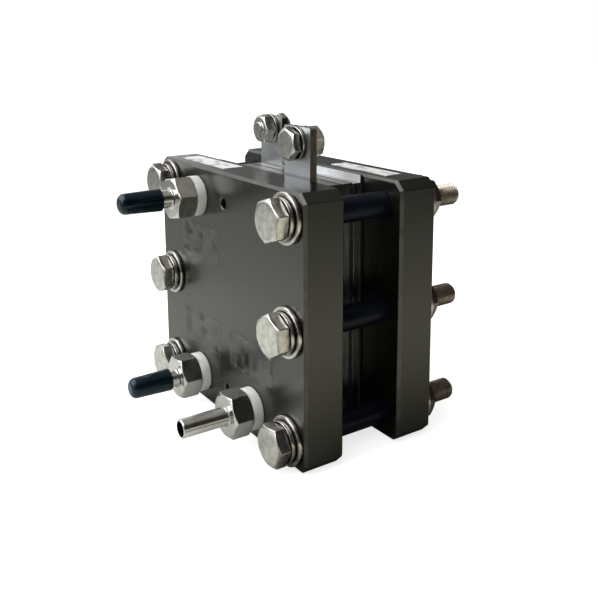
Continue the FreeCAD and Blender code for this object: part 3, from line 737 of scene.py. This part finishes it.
EDGE_ROUND = {
    "end_plate": 0.25,
    "washers": 0.3,
    "nuts": 0.2,
    "port_fitting": 0.2,
    "port_collar": 0.3,
    "current_collector": 0.15,
    "port_cap": 0.2,
}
for name in nodes:
    for part, width in EDGE_ROUND.items():
        if part in name:
            soften(name, width)
print("softened", sum(1 for node in nodes.values() if node.modifiers))

# %% [markdown]
# ## Threaded bolts
# A real thread is a helix, and at the rear the bolt ends stand well clear of
# their nuts, so a plain rod would look wrong. One mesh per bolt is made from
# rings of points around its axis. In the head the rings follow a hexagon
# with slightly rounded corners, and along the shank the radius of each point
# follows the thread's profile, which moves on by one pitch per turn.

# %% Radius of a hexagon and of a thread
CORNER_SHARPNESS = 110
CORNER_STEPS = [-2.2, -1.1, 0.0, 1.1, 2.2]
POINTS_BETWEEN = 10
THREAD_DEPTH = 0.61
CREST_LEVEL, FLANK_SLOPE = 1.35, 1.75


def hexagon_radius(angle, flats):
    """Distance from the axis to a hexagon whose corners are slightly round."""
    total = 0.0
    for side in range(6):
        reach = math.cos(angle - math.radians(30 + 60 * side))
        if reach > 0:
            total += reach ** CORNER_SHARPNESS
    return flats / 2 / total ** (1 / CORNER_SHARPNESS)


def column_angles():
    """Angles around the axis, closer together near the six corners."""
    last = CORNER_STEPS[-1]
    side_span = 60 - 2 * last
    between = [last + side_span * step / (POINTS_BETWEEN + 1)
               for step in range(1, POINTS_BETWEEN + 1)]
    return [math.radians(60 * side + part)
            for side in range(6) for part in CORNER_STEPS + between]


def thread_radius(angle, along, pitch, major):
    """Radius of a screw thread with a flat crest and a rounded root."""
    phase = (along / pitch - angle / (2 * math.pi)) % 1.0
    flank = min(1.0, max(0.0, CREST_LEVEL - FLANK_SLOPE * abs(2 * phase - 1)))
    return major - THREAD_DEPTH * pitch * (1 - flank)


print(len(column_angles()), "points in a ring")

# %% [markdown]
# Rings of points become a closed solid when each one is joined to the next
# with four-sided faces, and the first and last to a point on the axis. Faces
# that meet at a small angle are shaded smooth, and the others stay sharp.

# %% Join rings into a mesh
SMOOTH_UNDER = math.radians(38)


def ringed_mesh(name, rings):
    """Closes rings of (radius, y) points into a solid about an axis along Y."""
    angles = column_angles()
    count = len(angles)
    points = [(0.0, rings[0][0][1], 0.0)]
    for ring in rings:
        for angle, (radius, y) in zip(angles, ring):
            points.append((radius * math.cos(angle), y, radius * math.sin(angle)))
    points.append((0.0, rings[-1][0][1], 0.0))
    last = len(points) - 1
    faces = []
    for here in range(count):
        after = (here + 1) % count
        faces.append((0, 1 + here, 1 + after))
        faces.append((last, last - count + after, last - count + here))
        for row in range(len(rings) - 1):
            low = 1 + row * count
            faces.append((low + here, low + count + here, low + count + after, low + after))
    mesh = bpy.data.meshes.new(name)
    mesh.from_pydata([Vector(p) * MM for p in points], [], faces)
    mesh.polygons.foreach_set("use_smooth", [True] * len(faces))
    mesh.set_sharp_from_angle(angle=SMOOTH_UNDER)
    mesh.update()
    piece = bpy.data.objects.new(name, mesh)
    bpy.context.scene.collection.objects.link(piece)
    return piece


print("edges over", round(math.degrees(SMOOTH_UNDER)), "degrees stay sharp")

# %% [markdown]
# The head of a forged bolt has a flat top that ends in a chamfer turned at 30
# degrees. The chamfer cuts the hexagon's corners lower than its flats, and
# that wavy line is the mark of a real hexagon head. Under the hexagon a thin
# round seat touches the washer, which leaves a dark line between the two.

# %% Rings of a bolt head
M10_FLATS, M10_HEAD = 17.0, 6.4
CHAMFER_SLOPE = math.tan(math.radians(30))
TOP_SHARES = (0.35, 0.7, 0.94)
RIM_INSET, RIM_DROP = 0.45, 0.04
UPPER_EDGE = [(0.12, -0.06), (0.02, 0.02), (0.0, 0.15)]
LOWER_EDGE = [(0.0, 0.2), (0.15, 0.0)]
SEAT_INSET, SEAT_STEP = 0.5, 0.8


def head_rings(flats, height):
    """Rings from the middle of the head's free face down to its seat."""
    outline = [hexagon_radius(angle, flats) for angle in column_angles()]
    count = len(outline)
    rim = flats / 2 - RIM_INSET
    seat = flats / 2 - SEAT_INSET
    chamfer = [RIM_DROP + (radius - rim) * CHAMFER_SLOPE for radius in outline]
    rings = [[(rim * share, 0.0)] * count for share in TOP_SHARES]
    rings.append([(rim, RIM_DROP)] * count)
    for inward, down in UPPER_EDGE:
        rings.append([(radius - inward, drop + down) for radius, drop in zip(outline, chamfer)])
    for inward, up in LOWER_EDGE:
        rings.append([(radius - inward, height - SEAT_STEP - up) for radius in outline])
    rings.append([(seat, height - SEAT_STEP)] * count)
    rings.append([(seat, height)] * count)
    return rings


print(len(head_rings(M10_FLATS, M10_HEAD)), "rings in a head")

# %% [markdown]
# The thread fades in over its first turn, as a rolled one does, and ends in a
# chamfer that helps the nut on. Seven rings to a turn are enough to show the
# helix. Head, plain shank and thread are then one list of rings.

# %% Build one bolt
RINGS_PER_TURN = 7
RING_GAP = 0.01
END_ROUND = 0.3


def threaded_end(start, length, major, pitch, chamfer):
    """Rings of a screw thread that fades in, and ends in a chamfer."""
    angles = column_angles()
    rings = []
    steps = int(length / pitch * RINGS_PER_TURN)
    for step in range(steps + 1):
        along = length * step / steps
        fade = min(1.0, along / pitch)
        limit = major - max(0.0, along - (length - chamfer))
        ring = []
        for angle in angles:
            radius = thread_radius(angle, along, pitch, major)
            ring.append((min(limit, major + (radius - major) * fade), start + along))
        rings.append(ring)
    return rings


def screw(node_name, head_turn, backwards, flats, height, major, pitch, thread_length, chamfer):
    """A bolt in place of a CAD one. Its shank runs along +Y, or -Y if backwards."""
    low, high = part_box(node_name)
    middle = (low + high) / 2
    end = (high.y - low.y) / MM
    count = len(column_angles())
    thread_start = end - thread_length
    rings = head_rings(flats, height)
    rings.append([(major, height)] * count)
    rings.append([(major, thread_start)] * count)
    rings += threaded_end(thread_start + RING_GAP, thread_length - RING_GAP, major, pitch, chamfer)
    rings.append([(major - chamfer - END_ROUND, end)] * count)
    piece = ringed_mesh(node_name + "_cut", rings)
    head_end = high.y if backwards else low.y
    flip = Matrix.Rotation(math.pi, 4, "X") if backwards else Matrix.Identity(4)
    spin = Matrix.Rotation(-math.radians(head_turn), 4, "Y")
    piece.matrix_world = Matrix.Translation((middle.x, head_end, middle.z)) @ spin @ flip
    piece.data.materials.append(bolt_steel)
    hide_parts(node_name)
    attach(piece, "root")
    return piece


print(RINGS_PER_TURN, "rings in a turn of thread")

# %% [markdown]
# Each head came to rest at its own angle, and those angles can be read from
# the photograph. They are the same as in the CAD, so the new heads cover the
# old ones. The M10 clamp bolts have a pitch of 1.5 mm and the M8 terminal
# bolts 1.25 mm.

# %% Cut the clamp bolts and terminal bolts
HEAD_TURN = {
    "top_left": 43.3,
    "middle_left": 27.7,
    "bottom_left": 12.0,
    "top_right": 18.6,
    "middle_right": 32.6,
    "bottom_right": 3.3,
}
FRONT_TAB_TURN, REAR_TAB_TURN = 40.0, 30.0
M10_BOLT = {"flats": M10_FLATS, "height": M10_HEAD, "major": 5.0, "pitch": 1.5,
            "thread_length": 22.0, "chamfer": 1.2}
M8_BOLT = {"flats": 13.0, "height": 4.6, "major": 4.0, "pitch": 1.25,
           "thread_length": 7.0, "chamfer": 0.8}

for place, head_turn in HEAD_TURN.items():
    bolt = screw("clamp_bolt_" + place, head_turn, False, **M10_BOLT)
screw("tab_bolt_front", FRONT_TAB_TURN, False, **M8_BOLT)
screw("tab_bolt_rear", REAR_TAB_TURN, True, **M8_BOLT)
print("one clamp bolt has", len(bolt.data.polygons), "faces")

# %% [markdown]
# ## The floor
# A pale floor gives the stack something to stand on and throws soft light up
# at it. The dark plates mirror it: they show a painted pool of light a hand's
# width away that fades outwards and towards the stack. On the right it is
# warmer, and dark close to the stack, which is a painted shadow. One list of
# stops gives the level by distance, another the tint along X, both in metres.

# %% The pool of light on the floor
POOL_STOPS = [(0.05, 0.62), (0.085, 0.82), (0.13, 0.84), (0.18, 0.82), (0.275, 0.62),
              (0.36, 0.54), (0.47, 0.62), (0.60, 0.26), (0.90, 0.15)]
TINT_STOPS = [(0.0, (0.97, 1.0, 0.93)), (0.045, (0.97, 1.0, 0.93)),
              (0.06, (0.22, 0.21, 0.19)), (0.15, (1.0, 0.96, 0.78)),
              (0.195, (1.30, 1.25, 1.06)), (0.24, (1.16, 1.12, 0.96))]

paper_floor, tree, skin = finish("white_paper_floor", 0.9)
reach = vector_maths(tree, "LENGTH", own_coordinates(tree))
# Painted light on the floor: the pool, and a painted shadow beside the stack's right flank.
pool = look_up(tree, reach, POOL_STOPS)
tints = look_up(tree, own_place(tree)["X"], TINT_STOPS)
tinted = vector_maths(tree, "MULTIPLY", pool, tints)
print(len(POOL_STOPS), "levels and", len(TINT_STOPS), "tints")

# %% [markdown]
# The camera would see that pool too, so camera rays meet one even pale colour
# with a little glow, which turns the floor white but keeps the shadow. The
# floor lies a hair below the feet, so that the two never share a plane.

# %% Lay the floor
FLOOR_GLOW = 0.75
FLOOR_HALF, FLOOR_DROP = 4.0, 0.0002

to_camera = tree.nodes.new("ShaderNodeLightPath").outputs["Is Camera Ray"]
even = colours(tree, grain(tree, 30), (0.87, 0.87, 0.87), (0.89, 0.89, 0.89))
tree.links.new(blend(tree, to_camera, tinted, even), skin.inputs["Base Color"])
tree.links.new(maths(tree, "MULTIPLY", to_camera, FLOOR_GLOW), skin.inputs["Emission Strength"])
skin.inputs["Emission Color"].default_value = (1, 1, 1, 1)

corners = [(-FLOOR_HALF, -FLOOR_HALF), (FLOOR_HALF, -FLOOR_HALF),
           (FLOOR_HALF, FLOOR_HALF), (-FLOOR_HALF, FLOOR_HALF)]
floor_mesh = bpy.data.meshes.new("floor")
floor_mesh.from_pydata([(x, y, -FLOOR_DROP) for x, y in corners], [], [(0, 1, 2, 3)])
floor = bpy.data.objects.new("floor", floor_mesh)
floor.data.materials.append(paper_floor)
bpy.context.scene.collection.objects.link(floor)
print("floor", 2 * FLOOR_HALF, "m wide")
